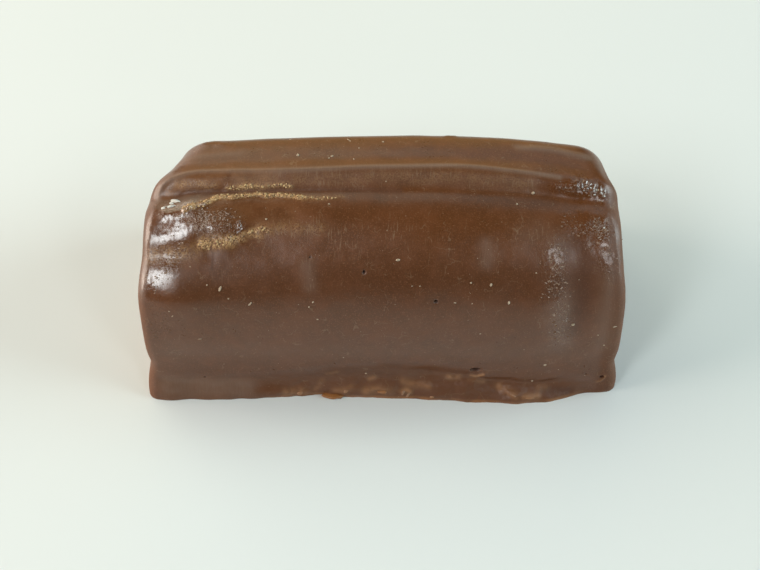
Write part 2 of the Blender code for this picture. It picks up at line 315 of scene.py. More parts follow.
# Crumbs on the skin: pixel, length and width in mm, and lean in degrees from the picture's level. They are
# made smaller than they look.
CRUMB_SCALE, CRUMB_THICKNESS, CRUMB_TONE = 0.8, 0.6, 0.7
CRUMBS = (
    (220, 289, 0.62, 0.22, 72), (250, 304, 0.52, 0.16, 52), (398, 260, 0.46, 0.24, 20),
    (309, 307, 0.22, 0.14, 40), (313, 302, 0.24, 0.16, 60), (471, 283, 0.22, 0.2, 0),
    (491, 285, 0.36, 0.22, 75), (509, 303, 0.42, 0.24, 80), (573, 325, 0.34, 0.3, 30),
    (545, 365, 0.34, 0.22, 5), (532, 380, 0.22, 0.18, 0), (615, 327, 0.46, 0.16, 8),
    (533, 193, 0.36, 0.3, 45), (517, 204, 0.2, 0.2, 0), (266, 219, 0.22, 0.2, 0),
    (207, 285, 0.2, 0.14, 60), (200, 339, 0.42, 0.12, 0), (170, 309, 0.2, 0.12, 20),
    (173, 314, 0.26, 0.12, 60), (298, 155, 0.34, 0.3, 20), (332, 156, 0.32, 0.2, 30),
    (329, 158, 0.22, 0.16, 60), (354, 159, 0.22, 0.18, 0), (349, 140, 0.62, 0.1, 120),
    (383, 142, 0.26, 0.2, 0), (290, 139, 0.18, 0.14, 0), (366, 373, 0.22, 0.2, 0),
    (455, 303, 0.24, 0.18, 0), (412, 286, 0.14, 0.12, 0), (420, 286, 0.16, 0.12, 0),
    (598, 190, 0.24, 0.18, 0), (536, 273, 0.16, 0.14, 0), (598, 335, 0.2, 0.12, 0),
    (604, 345, 0.22, 0.12, 10), (480, 334, 0.18, 0.12, 50), (329, 204, 0.2, 0.14, 0),
)

# Specks of dust: the share of the log along which they lie, how far around it in degrees, their sizes in
# mm, how long the longest are for their width, and their tones.
SPECK_COUNT = 110
SPECKS_ALONG, SPECKS_AROUND = 0.92, (12.0, 168.0)
SPECK_SMALLEST, SPECK_LARGEST = 0.04, 0.11
SPECK_LONGEST, SPECK_TONES = 1.8, (0.2, 1.0)
SPECK_SEED = 12

# Chips of coating below the ends of the ridge, which face the lamp on their side and are painted near
# white as a
# painted highlight: pixel, length and width in mm and lean in degrees.
CHIP_THICKNESS, CHIP_HIGHLIGHT_TONE = 0.4, 0.8
CHIPS = (
    (176, 202.5, 0.85, 0.4, -8), (172, 204.5, 0.45, 0.24, -20), (170, 208, 1.25, 0.22, 8),
    (164, 209.5, 0.4, 0.22, 0), (587, 186, 0.3, 0.12, -20), (592, 189, 0.34, 0.12, -40),
    (597, 190, 0.3, 0.16, -30), (601, 193, 0.36, 0.13, -50), (604, 196, 0.24, 0.12, -40),
    (594, 194, 0.2, 0.1, 20), (584, 190, 0.18, 0.1, 0), (604, 228, 0.2, 0.14, 10),
)

# Small facets of the crumpled coating: their share, by the mark. Then come how many there are to a square
# mm and how far aside they lie, in the mark's widths, their sizes in mm, how long and thick they are for
# their width, their lean in degrees, and how far they turn from mirroring the lamp on their side.
FACETS = dict(
    left_foil=2.4, upper_left_gloss=0.8, left_gloss=0.3, lower_left_leather=0.3, flecks_on_fold=0.3,
    right_shoulder_gloss=1.2, by_right_shoulder=0.6, below_right_swelling=1.4, right_edge=0.25,
    right_leather=0.45, right_folds=0.3,
)
FACETS_EACH_MM, FACETS_ASIDE = 90, 0.6
FACET_SMALLEST, FACET_LARGEST = 0.05, 0.15
FACET_LONGEST, FACET_THICKNESS = 2.4, 0.14
FACET_LEANS, FACET_SCATTER = (-30.0, 60.0), 0.13
FACET_SEED = 8

# Flakes at the foot: pixel, length, width and thickness in mm, lean in degrees, and how orange each is.
FOOT_FLAKES = (
    (333, 396.8, 2.0, 0.66, 0.3, -4, 1.0), (300, 393, 0.55, 0.36, 0.12, 20, 0.4),
    (346, 391, 0.55, 0.26, 0.1, 30, 0.4), (382, 392, 0.9, 0.3, 0.12, -4, 0.8),
    (403, 393, 0.45, 0.22, 0.12, 65, 0.0), (408, 395, 0.45, 0.22, 0.12, 50, 0.1),
    (512, 394, 0.9, 0.26, 0.1, -38, 0.1), (530, 398, 0.8, 0.26, 0.12, 4, 0.5),
    (432, 397, 0.4, 0.18, 0.1, 0, 0.3),
)

# Crumbs along the worn lips: how many to each mm and how far aside, in the lip's widths, their sizes in
# mm, and how long and thick they are for their width.
LIP_CRUMB_MARKS = ("worn_highlit_edge_of_ridge", "lip", "shoulder_patch", "shoulder_lip", "end_of_lip")
LIP_CRUMBS_EACH_MM, LIP_CRUMBS_ASIDE = 16, 0.45
LIP_CRUMB_SMALLEST, LIP_CRUMB_LARGEST = 0.06, 0.18
LIP_CRUMB_LENGTH, LIP_CRUMB_THICKNESS = 1.4, 0.8
LIP_SEED = 5


# Small helpers ----------------------------------


def rise(value, start, end):
    """0 before the start, 1 past the end, and smooth between. It takes arrays."""
    t = np.clip((value - start) / (end - start), 0.0, 1.0)
    return t * t * (3.0 - 2.0 * t)


def hump(value, middle, width):
    """A smooth bump of height 1 at the middle."""
    return np.exp(-(((value - middle) / width) ** 2))


def rumple(points, size, octaves=3, seed=0.0):
    """Smooth unevenness at each point, from about -1 to 1."""
    shift = Vector((seed, -seed, 2.0 * seed))
    return np.array([noise.fractal(Vector(p) / size + shift, 1.0, 2.0, octaves) for p in points])


def crumple(points, size, octaves, seed):
    """Sharp folds, as in crumpled foil, at each point: from 0 to about 1."""
    shift = Vector((seed, -seed, 2.0 * seed))
    return np.array([noise.turbulence(Vector(p) / size + shift, octaves, False) for p in points])


def camera_turn():
    """The camera's own axes, as columns: to the right, up, and back."""
    back = Vector((0.0, -math.cos(CAMERA_ELEVATION), math.sin(CAMERA_ELEVATION)))
    right = Vector((1.0, 0.0, 0.0))
    return Matrix((right, back.cross(right), back)).transposed()


def camera_place():
    return LOOK_AT + camera_turn().col[2] * CAMERA_DISTANCE


def light_place(azimuth, elevation, **_):
    """Where a light stands."""
    around, up = math.radians(azimuth), math.radians(elevation)
    level = math.cos(up)
    return Vector((math.cos(around) * level, math.sin(around) * level, math.sin(up))) * LIGHT_DISTANCE


def pixel_ray(pixel):
    """The direction in which the camera sees a pixel of the photograph."""
    x, y = pixel
    return camera_turn() @ Vector((x - PHOTO_WIDTH / 2, PHOTO_HEIGHT / 2 - y, -FOCAL_PIXELS)).normalized()


def seen_at(pixel):
    """Where a pixel of the photograph falls on the solid, and the skin's direction there."""
    return SKIN_TREE.ray_cast(camera_place(), pixel_ray(pixel))[:2]


def found_around(place):
    """Where the skin is at a place along the log, in mm, and around it, in degrees from the near foot."""
    along, turn = place[0] * MM, math.radians(place[1])
    outwards = Vector((0.0, -math.cos(turn), math.sin(turn)))
    return SKIN_TREE.ray_cast(Vector((along, 0.0, 0.0)) + outwards * LENGTH, -outwards)[:2]


def skin_path(stops, find, steps=12):
    """A smooth path through stops on the skin, which are found from the camera or around the log."""
    flat = [Vector((*stop, 0.0)) for stop in stops]
    ends = [flat[0] * 2 - flat[1]] + flat + [flat[-1] * 2 - flat[-2]]
    places = []
    for before, start, end, after in zip(ends, ends[1:], ends[2:], ends[3:]):
        pulls = start + (end - before) / 6, end - (after - start) / 6
        places += [find(p[:2])[0] for p in interpolate_bezier(start, *pulls, end, steps)]
    return np.array([place for place in places if place is not None])


def mesh_arrays(mesh):
    """The places and directions of a mesh's vertices."""
    places, normals = np.empty(len(mesh.vertices) * 3), np.empty(len(mesh.vertices) * 3)
    mesh.vertices.foreach_get("co", places)
    mesh.vertices.foreach_get("normal", normals)
    return places.reshape(-1, 3), normals.reshape(-1, 3)


def move_vertices(mesh, places):
    """Moves a mesh's vertices, none of them past the solid's box."""
    mesh.vertices.foreach_set("co", np.clip(places, LOW, HIGH).ravel())
    mesh.update()


def store(mesh, name, kind, values):
    """Gives each of a mesh's vertices a value, or three."""
    field = "vector" if kind == "FLOAT_VECTOR" else "value"
    mesh.attributes.new(name, kind, "POINT").data.foreach_set(field, values)


def tree_of(mesh):
    """A tree of a mesh's faces, for casting rays and finding the nearest place."""
    return BVHTree.FromPolygons([v.co for v in mesh.vertices], [tuple(f.vertices) for f in mesh.polygons])


def evaluated(piece):
    """A plain mesh of the object with its modifiers applied. The object itself is removed."""
    mesh = bpy.data.meshes.new_from_object(piece.evaluated_get(bpy.context.evaluated_depsgraph_get()))
    bpy.data.objects.remove(piece)
    return mesh


def linked_object(name, mesh):
    piece = bpy.data.objects.new(name, mesh)
    bpy.context.scene.collection.objects.link(piece)
    return piece


def settle(piece):
    """A finished piece rides on the body."""
    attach(piece, BODY)
    return piece


def add_node(tree, kind, settings, inputs):
    """Adds a node to a tree, with its settings and inputs."""
    made = tree.nodes.new(kind)
    for name, value in (settings or {}).items():
        setattr(made, name, value)
    for key, value in (inputs or {}).items():
        fill_input(tree, made.inputs[key], value)
    return made


def fill_input(tree, socket, value):
    """Links an input to another node's output, or sets it."""
    if isinstance(value, Value):
        value = value.socket
    if isinstance(value, bpy.types.NodeSocket):
        tree.links.new(value, socket)
    else:
        socket.default_value = value


LENGTH = HIGH[0] - LOW[0]
SKIN_TREE = tree_of(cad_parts[NODE].data)


# Materials --------------------------------------


class Value:
    """A number in a material, which may vary: Python's operators on it add the Math nodes."""

    def __init__(self, recipe, socket):
        self.recipe, self.socket = recipe, socket

    def maths(self, operation, *values, clamp=False):
        settings = {"operation": operation, "use_clamp": clamp}
        return self.recipe.node("ShaderNodeMath", settings, dict(enumerate(values)))

    def __add__(self, other):
        return self.maths("ADD", self, other)

    def __radd__(self, other):
        return self.maths("ADD", other, self)

    def __sub__(self, other):
        return self.maths("SUBTRACT", self, other)

    def __rsub__(self, other):
        return self.maths("SUBTRACT", other, self)

    def __mul__(self, other):
        return self.maths("MULTIPLY", self, other)

    def clamped(self):
        return self.maths("ADD", self, 0.0, clamp=True)

    def step(self, start, end):
        """0 up to the start, 1 past the end, smooth between."""
        inputs = {"Value": self, "From Min": start, "From Max": end}
        return self.recipe.node("ShaderNodeMapRange", {"interpolation_type": "SMOOTHSTEP"}, inputs)


class Recipe:
    """The nodes of one material, round its Principled shader."""

    def __init__(self, name, **constants):
        self.material = bpy.data.materials.new(name)
        self.material.use_nodes = True
        self.tree = self.material.node_tree
        self.shader = self.tree.nodes["Principled BSDF"]
        for socket, value in constants.items():
            self.shader.inputs[socket.replace("_", " ")].default_value = value
        self.place = self.node("ShaderNodeTexCoord", output="Object")

    def node(self, kind, settings=None, inputs=None, output=0):
        return Value(self, add_node(self.tree, kind, settings, inputs).outputs[output])

    def noise(self, size, detail=2.0, roughness=0.5, distortion=0.0, stretch=None, output=0):
        """Noise of a size in metres, from 0 to 1, which the stretch draws out along an axis."""
        place = self.place
        if stretch:
            scale = tuple(1.0 / s for s in stretch)
            place = self.node("ShaderNodeMapping", inputs={"Vector": place, "Scale": scale})
        inputs = {"Vector": place, "Scale": 1.0 / size, "Detail": detail, "Roughness": roughness}
        return self.node("ShaderNodeTexNoise", inputs={**inputs, "Distortion": distortion}, output=output)

    def warped(self, size, amount):
        """The place, pushed about by noise, so that what is laid on it curls."""
        push = self.noise(size, output="Color")
        inputs = {0: push, 1: (amount, amount, amount), 2: self.place}
        return self.node("ShaderNodeVectorMath", {"operation": "MULTIPLY_ADD"}, inputs)

    def cells(self, size, place=None, feature="F1"):
        """Cells of a size in metres: how far each place is from a cell's middle or from its edge."""
        inputs = {"Vector": place or self.place, "Scale": 1.0 / size}
        return self.node("ShaderNodeTexVoronoi", {"feature": feature}, inputs, "Distance")

    def mask(self, attribute):
        """One of the masks that a piece's mesh carries."""
        return self.node("ShaderNodeAttribute", {"attribute_name": attribute}, output="Fac")

    def mix(self, share, first, second):
        """A blend of two colours."""
        inputs = {"Factor": share, 6: self.colour(first), 7: self.colour(second)}
        return self.node("ShaderNodeMix", {"data_type": "RGBA"}, inputs, output=2)

    def colour(self, value):
        return value if isinstance(value, Value) else (*value, 1.0)

    def bump(self, height, distance, under=None):
        inputs = {"Height": height, "Distance": distance}
        if under is not None:
            inputs["Normal"] = under
        return self.node("ShaderNodeBump", inputs=inputs)

    def finish(self, **varying):
        for socket, value in varying.items():
            fill_input(self.tree, self.shader.inputs[socket.replace("_", " ")], value)
        return self.material


MILK_CHOCOLATE = (0.128, 0.0414, 0.0114)
DEEP_CHOCOLATE = (0.103, 0.034, 0.0087)
PALE_CHOCOLATE = (0.165, 0.0552, 0.0175)
BLOOM_AND_SHEEN_GREY = (0.19, 0.11, 0.072)
WORN_AND_HIGHLIT_GOLD = (0.56, 0.325, 0.135)
SCRATCHED = (0.21, 0.115, 0.062)
SPECKLED = (0.33, 0.21, 0.13)
SHADED = (0.055, 0.016, 0.005)
TORN = (0.125, 0.044, 0.015)
TAN_AND_PAINTED_LIGHT = (0.31, 0.145, 0.06)
RIM_ORANGE = (0.27, 0.11, 0.038)
CLOUD_BUMP, LEATHER_BUMP, GRAIN_BUMP = 0.15 * MM, 0.055 * MM, 0.03 * MM


def coating_material():
    recipe = Recipe("milk_chocolate_coating", IOR=1.55, Coat_IOR=1.8, Coat_Roughness=0.18)
    worn, wrinkled, foil, gloss, bloom, scratched, shade, tan = (recipe.mask(name) for name in FINISHES)
    torn, rim, dull = recipe.mask("torn"), recipe.mask("rim"), recipe.mask("dull")

    cloudy = recipe.noise(5.0 * MM, detail=3.0, roughness=0.55)
    mottled = recipe.noise(1.3 * MM, detail=4.0, roughness=0.6)
    fine = recipe.noise(0.25 * MM, detail=3.0, roughness=0.6)
    grain = recipe.noise(0.11 * MM, detail=1.0)
    broken = 0.55 + recipe.noise(0.9 * MM, detail=2.0).step(0.35, 0.62)
    crumbly = recipe.noise(0.13 * MM, detail=2.0, roughness=0.7)

    upright = recipe.noise(0.095 * MM, detail=1.0, stretch=(1.0, 9.0, 9.0))
    patches = recipe.noise(1.6 * MM, detail=2.0, stretch=(1.5, 1.0, 1.0))
    scratches = upright.step(0.58, 0.7) * (scratched + 0.1) * patches.step(0.38, 0.56)
    curls = recipe.cells(1.5 * MM, recipe.warped(1.1 * MM, 1.6 * MM), "DISTANCE_TO_EDGE")
    hairs = (1.0 - curls.step(0.004, 0.022)) * recipe.noise(0.9 * MM, detail=0.0).step(0.6, 0.66)
    dots = recipe.cells(0.55 * MM)
    specks = (1.0 - dots.step(0.05, 0.12)) * recipe.noise(0.7 * MM, detail=0.0).step(0.45, 0.7)

    tint = cloudy * 0.5 + mottled * 0.5
    colour = recipe.mix(tint.step(0.38, 0.62), DEEP_CHOCOLATE, MILK_CHOCOLATE)
    colour = recipe.mix(mottled.step(0.55, 0.8) * 0.5, colour, PALE_CHOCOLATE)
    colour = recipe.mix(fine.step(0.5, 0.75) * 0.45, colour, PALE_CHOCOLATE)
    colour = recipe.mix(grain.step(0.5, 0.72) * 0.75, colour, PALE_CHOCOLATE)
    colour = recipe.mix(grain.step(0.64, 0.8) * 0.6, colour, SCRATCHED)
    # The grey bloom, which on the crests, the lower right edge and the foot is a painted highlight, sheen
    # and reflection.
    colour = recipe.mix((bloom * (0.45 + upright * 0.6)).clamped(), colour, BLOOM_AND_SHEEN_GREY)
    colour = recipe.mix(torn, colour, recipe.mix(fine.step(0.45, 0.7), TORN, MILK_CHOCOLATE))
    colour = recipe.mix((rim * (patches.step(0.38, 0.56) * 0.7 + 0.4)).clamped(), colour, RIM_ORANGE)
    # Bare tan chocolate, which at the band's left end, the crest's curl and the hollow under the lip is
    # painted light.
    colour = recipe.mix((tan * (mottled.step(0.3, 0.6) * 0.9 + 0.2)).clamped(), colour, TAN_AND_PAINTED_LIGHT)
    # The golden wear, which is partly a painted highlight on the rough lips.
    colour = recipe.mix((worn * broken * crumbly.step(0.37, 0.56)).clamped(), colour, WORN_AND_HIGHLIT_GOLD)
    colour = recipe.mix((scratches * 0.75 + hairs * 0.6).clamped(), colour, SCRATCHED)
    colour = recipe.mix(specks * 0.6, colour, SPECKLED)
    # Painted shade in the creases, gaps, crack, furrow and pinholes, and across the lower front.
    colour = recipe.mix(shade, colour, SHADED)

    roughness = 0.3 + (mottled - 0.5) * 0.12 + (fine - 0.5) * 0.1 + dull * 0.42
    roughness = roughness - wrinkled * 0.06 - gloss * 0.06 + worn * 0.2 + torn * 0.15
    roughness = (roughness + bloom * 0.12 + shade * 0.4 + scratched * 0.08).clamped()

    leather = recipe.noise(0.22 * MM, detail=3.0, roughness=0.6, distortion=0.8)
    leathery = wrinkled * 0.2 + foil * 0.8 + gloss * 0.28 + 0.06
    grainy = worn * 1.6 + torn * 0.4 + 0.22 - gloss * 0.06
    normal = recipe.bump(cloudy, CLOUD_BUMP)
    normal = recipe.bump(leather * leathery, LEATHER_BUMP, under=normal)
    normal = recipe.bump(grain * grainy, GRAIN_BUMP, under=normal)
    shine = (gloss + foil * 0.5).clamped()
    return recipe.finish(Base_Color=colour, Roughness=roughness, Coat_Weight=shine, Normal=normal)


def crumb_material(name, dark, pale, roughness=0.5, bump=0.03 * MM):
    """Crumbs, whose tone goes from dark to pale by the crumb."""
    recipe = Recipe(name, IOR=1.55)
    tone = recipe.mask("tone")
    fine = recipe.noise(0.12 * MM, detail=2.0)
    colour = recipe.mix((tone + (fine - 0.5) * 0.8).clamped(), dark, pale)
    roughness = roughness + (fine - 0.5) * 0.3
    return recipe.finish(Base_Color=colour, Roughness=roughness, Normal=recipe.bump(fine, bump))


# The coating ------------------------------------


def fine_skin():
    """The solid's skin without its base, as quads, made finer all over."""
    bm = bmesh.new()
    bm.from_mesh(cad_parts[NODE].data)
    bmesh.ops.remove_doubles(bm, verts=bm.verts, dist=TINY)
    flat = [f for f in bm.faces if all(v.co.z < TINY for v in f.verts)]
    bmesh.ops.delete(bm, geom=flat, context="FACES")
    right_angle = math.pi / 2
    bmesh.ops.join_triangles(
        bm, faces=bm.faces, angle_face_threshold=right_angle, angle_shape_threshold=right_angle,
    )
    mesh = bpy.data.meshes.new("praline_coating")
    bm.to_mesh(mesh)
    bm.free()
    cage = linked_object("cage", mesh)
    finer = cage.modifiers.new("finer", "SUBSURF")
    finer.levels = finer.render_levels = SKIN_LEVELS
    return evaluated(cage)


def divide_where(mesh, wanted, cuts):
    """Divides the faces whose middles are wanted finer, and smooths them."""
    bm = bmesh.new()
    bm.from_mesh(mesh)
    middles = np.array([f.calc_center_median() for f in bm.faces])
    edges = {e for f, chosen in zip(bm.faces, wanted(middles)) if chosen for e in f.edges}
    bmesh.ops.subdivide_edges(bm, edges=list(edges), cuts=cuts, use_grid_fill=True)
    places = np.array([v.co for v in bm.verts])
    divided = [v for v, chosen in zip(bm.verts, wanted(places) & (places[:, 2] > BASE_EDGE)) if chosen]
    axes = dict(use_axis_x=True, use_axis_y=True, use_axis_z=True)
    for _ in range(SMOOTHINGS):
        bmesh.ops.smooth_vert(bm, verts=divided, factor=SMOOTHING, **axes)
    bm.to_mesh(mesh)
    bm.free()
    mesh.update()


def near_path(places, path, reach):
    """How far each place within reach of a path is from it, and how far along it, from 0 to 1."""
    starts, steps = path[:-1], np.diff(path, axis=0)
    lengths = np.maximum((steps**2).sum(axis=1), TINY**2)
    close = np.all((places > path.min(axis=0) - reach) & (places < path.max(axis=0) + reach), axis=1)
    offset = places[close][:, None, :] - starts[None]
    share = np.clip((offset * steps).sum(axis=2) / lengths, 0.0, 1.0)
    gap = np.linalg.norm(offset - share[..., None] * steps, axis=2)
    nearest = gap.argmin(axis=1)
    rows = np.arange(len(nearest))
    away, along = np.full(len(places), np.inf), np.zeros(len(places))
    away[close] = gap[rows, nearest]
    along[close] = (nearest + share[rows, nearest]) / len(steps)
    return away, along


def all_marks():
    """Every mark with its path laid on the skin."""
    for marks, find in ((MARKS, seen_at), (FAR_MARKS, found_around)):
        for name, drawn in marks.items():
            yield name, {**drawn, "path": skin_path(drawn["path"], find)}


LAID_MARKS = dict(all_marks())


def mark_fields(places, crumbs):
    """How far the marks push the skin out at each place, and the finishes that they carry there."""
    push = np.zeros(len(places))
    masks = {name: np.zeros(len(places)) for name in FINISHES}
    for laid in LAID_MARKS.values():
        width = laid["width"] * MM
        away, along = near_path(places, laid["path"], MARK_REACH * width)
        strength = hump(away, 0.0, width)
        if laid["tapered"]:
            strength *= rise(along, 0.0, TAPER) * (1.0 - rise(along, 1.0 - TAPER, 1.0))
        push += laid["height"] * MM * strength * (1.0 + laid["crumbly"] * crumbs)
        for name in FINISHES:
            masks[name] += laid.get(name, 0.0) * hump(away, 0.0, FINISH_WIDTH * width)
    return push, masks


def foot_masks(places):
    """Where the foot is torn, and how near each place is to its rim on the table."""
    x, y, z = places.T
    line = FOOT_LINE + FOOT_LINE_RISE * hump(x, FOOT_LINE_AT, FOOT_LINE_WIDTH)
    front = rise(-y, *FOOT_FRONT)
    spread = rise(x, TORN_FROM - TORN_FADE, TORN_FROM) * (1.0 - rise(x, TORN_TO, TORN_TO + TORN_FADE))
    torn = TORN_ALL_ROUND + (1.0 - TORN_ALL_ROUND) * spread * front
    torn *= 1.0 - rise(z, *(share * line for share in FOOT_LINE_FADE))
    return torn, torn * (1.0 - rise(z, *RIM_FADE))


def end_masks(places):
    """How wrinkled the ends are, away from the table and the crown."""
    ends = rise(np.abs(places[:, 0]), WRINKLED_FROM, WRINKLED_FULLY)
    height = places[:, 2]
    return ENDS_WRINKLED * ends * rise(height, *WRINKLED_ABOVE) * (1.0 - rise(height, *WRINKLED_BELOW))


def wants_detail(places):
    """Whether the skin is crumpled, torn, worn (partly a painted highlight) or bloomed (partly a painted
    sheen) enough at each place to be divided again.
    """
    _, masks = mark_fields(places, np.zeros(len(places)))
    torn, _ = foot_masks(places)
    bloom = masks["bloom"] - BLOOM_AND_SHEEN_LEFT_COARSE
    return np.maximum.reduce([masks["wrinkled"], masks["worn"], bloom, torn]) > DETAIL_FROM


def near_pinhole(places):
    middles = np.array([seen_at(row[:2])[0] for row in PINHOLES])
    reach = np.array([along for _, _, along, _, _ in PINHOLES]) * MM * PIT_REACH
    return (np.linalg.norm(places[:, None] - middles, axis=2) < reach + PIT_MARGIN).any(axis=1)


def pinhole_depths(places):
    """How deep the pinholes are at each place, and how far inside one it is."""
    depths, inside = np.zeros(len(places)), np.zeros(len(places))
    for x, y, along, across, depth in PINHOLES:
        middle, outwards = (np.array(v) for v in seen_at((x, y)))
        offset = places - middle
        near = np.linalg.norm(offset, axis=1) < PIT_LIMIT * along * MM
        offset -= np.outer(offset @ outwards, outwards)
        reach = np.hypot(offset[:, 0] / along, np.linalg.norm(offset[:, 1:], axis=1) / across) / MM
        hollow = (1.0 - rise(reach, PIT_FLOOR, PIT_RIM)) * near
        depths += depth * MM * hollow
        inside = np.maximum(inside, hollow)
    return depths, inside


def work_skin(mesh):
    """Pushes the marks, wrinkles, pinholes and torn foot into the skin, and returns its masks."""
    places, normals = mesh_arrays(mesh)
    crumbs = rumple(places, CRUMBLY_SIZE, octaves=2, seed=SEEDS["crumbly"])
    push, masks = mark_fields(places, crumbs)
    masks["wrinkled"] += end_masks(places)
    masks["torn"], masks["rim"] = foot_masks(places)
    masks["dull"] = rise(np.abs(places[:, 0] - DULL_MIDDLE), DULL_FROM, DULL_FULLY)
    depths, inside = pinhole_depths(places)
    # Painted shade inside the pinholes.
    masks["shade"] += PIT_SHADE * inside
    masks = {name: np.clip(mask, 0.0, 1.0) for name, mask in masks.items()}

    push += WAVE_HEIGHT * rumple(places, WAVE_SIZE, octaves=2)
    push += WRINKLE_HEIGHT * masks["wrinkled"] * rumple(places, WRINKLE_SIZE, seed=SEEDS["wrinkles"])
    folds = crumple(places, CRUMPLE_SIZE, octaves=2, seed=SEEDS["crumples"])
    push += CRUMPLE_HEIGHT * masks["wrinkled"] * (1.0 - 2.0 * folds)
    lumps = rumple(places * LUMP_SQUEEZE, LUMP_SIZE, seed=SEEDS["lumps"]) - LUMP_SINK
    flecks = rumple(places, FLECK_SIZE, seed=SEEDS["flecks"])
    push += masks["torn"] * (LUMP_HEIGHT * lumps + FLECK_HEIGHT * flecks)
    push -= depths

    moved = places + normals * push[:, None]
    moved[places[:, 2] < TINY, 2] = 0.0
    move_vertices(mesh, moved)
    return masks


def close_base(mesh):
    """Fills the base again and turns every face outwards."""
    bm = bmesh.new()
    bm.from_mesh(mesh)
    bmesh.ops.holes_fill(bm, edges=[e for e in bm.edges if e.is_boundary])
    bmesh.ops.recalc_face_normals(bm, faces=bm.faces)
    bm.to_mesh(mesh)
    bm.free()


def make_coating():
    mesh = fine_skin()
    divide_where(mesh, wants_detail, DETAIL_CUTS)
    divide_where(mesh, near_pinhole, PIT_CUTS)
    for name, mask in work_skin(mesh).items():
        store(mesh, name, "FLOAT", mask.astype(np.float32))
    close_base(mesh)
    mesh.materials.clear()
    mesh.materials.append(coating_material())
    mesh.shade_smooth()
    coating = linked_object("praline_coating", mesh)
    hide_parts(NODE)
    return settle(coating)


# Crumbs and flakes ------------------------------


class ScatterTree:
    """A Geometry Nodes tree that puts an uneven crumb on each point of a mesh."""

    GIVEN = dict(Points="Geometry", Unevenness="Float", Grain="Float", Seed="Float", Finish="Material")

    def __init__(self):
        self.tree = bpy.data.node_groups.new("uneven_crumbs", "GeometryNodeTree")
        self.keys = {name: self.socket(name, "INPUT", kind) for name, kind in self.GIVEN.items()}
        self.socket("Crumbs", "OUTPUT", "Geometry")
        self.build()

    def socket(self, name, way, kind):
        """Adds a socket to the tree itself, and returns its key."""
        made = self.tree.interface.new_socket(name, in_out=way, socket_type="NodeSocket" + kind)
        return made.identifier

    def node(self, kind, settings=None, inputs=None, output=0):
        made = add_node(self.tree, kind, settings, inputs)
        return made.outputs[output] if made.outputs else made

    def stored(self, name):
        """What each point carries under a name, three numbers at a time."""
        return self.node("GeometryNodeInputNamedAttribute", {"data_type": "FLOAT_VECTOR"}, {"Name": name})

    def geometry(self, kind, **inputs):
        return self.node("GeometryNode" + kind, inputs=inputs)

    def vector(self, operation, *values, output=0, **named):
        inputs = {**dict(enumerate(values)), **named}
        return self.node("ShaderNodeVectorMath", {"operation": operation}, inputs, output)

    def build(self):
        given = self.tree.nodes.new("NodeGroupInput").outputs
        turn, size = self.stored("turn"), self.stored("size")
        points = self.geometry("MeshToPoints", Mesh=given["Points"])
        ball = self.geometry("MeshIcoSphere", Radius=0.5, Subdivisions=2)
        balls = dict(Points=points, Instance=ball, Rotation=turn, Scale=size)
        crumbs = self.geometry("InstanceOnPoints", **balls)
        crumbs = self.geometry("RealizeInstances", Geometry=crumbs)
        grains = self.node("ShaderNodeMath", {"operation": "DIVIDE"}, {0: 1.0, 1: given["Grain"]})
        place = self.vector("SCALE", self.geometry("InputPosition"), Scale=grains)
        inputs = {"Vector": place, "W": given["Seed"], "Scale": 1.0, "Detail": 1.0}
        uneven = self.node("ShaderNodeTexNoise", {"noise_dimensions": "4D"}, inputs, "Color")
        uneven = self.vector("SUBTRACT", uneven, (0.5, 0.5, 0.5))
        uneven = self.vector("SCALE", uneven, Scale=given["Unevenness"])
        offset = self.vector("SCALE", uneven, Scale=self.vector("LENGTH", size, output="Value"))
        crumbs = self.geometry("SetPosition", Geometry=crumbs, Offset=offset)
        crumbs = self.geometry("SetShadeSmooth", Geometry=crumbs)
        crumbs = self.geometry("SetMaterial", Geometry=crumbs, Material=given["Finish"])
        self.node("NodeGroupOutput", inputs={"Crumbs": crumbs})

    def scatter(self, name, crumbs, skin=None, **values):
        """One piece from crumbs: place, direction, lean, length, width, thickness and tone of each."""
        crumbs = list(crumbs)
        places = [skin.find_nearest(crumb[0])[0] if skin else crumb[0] for crumb in crumbs]
        mesh = bpy.data.meshes.new(name)
        mesh.from_pydata(places, [], [])
        turns = [lying(normal, lean) for _, normal, lean, *_ in crumbs]
        sizes = [size * MM for crumb in crumbs for size in crumb[3:6]]
        store(mesh, "turn", "FLOAT_VECTOR", [angle for turn in turns for angle in turn])
        store(mesh, "size", "FLOAT_VECTOR", sizes)
        store(mesh, "tone", "FLOAT", [crumb[-1] for crumb in crumbs])
        points = linked_object(name + "_points", mesh)
        modifier = points.modifiers.new("crumbs", "NODES")
        modifier.node_group = self.tree
        for key, value in values.items():
            modifier[self.keys[key]] = value
        made = evaluated(points)
        made.name = name
        move_vertices(made, mesh_arrays(made)[0])
        return settle(linked_object(name, made))


def lying(normal, lean):
    """The turn of a crumb that lies on the skin, its length leaning from the picture's level."""
    right, up, _ = camera_turn().col
    along = right * math.cos(math.radians(lean)) + up * math.sin(math.radians(lean))
    along = (along - normal * along.dot(normal)).normalized()
    return Matrix((along, normal.cross(along), normal)).transposed().to_euler()


def named_crumbs():
    """The crumbs that the photograph shows one by one."""
    for x, y, length, width, lean in CRUMBS:
        place, normal = seen_at((x, y))
        shape = CRUMB_SCALE * length, CRUMB_SCALE * width, CRUMB_THICKNESS * width
        yield place, normal, lean, *shape, CRUMB_TONE


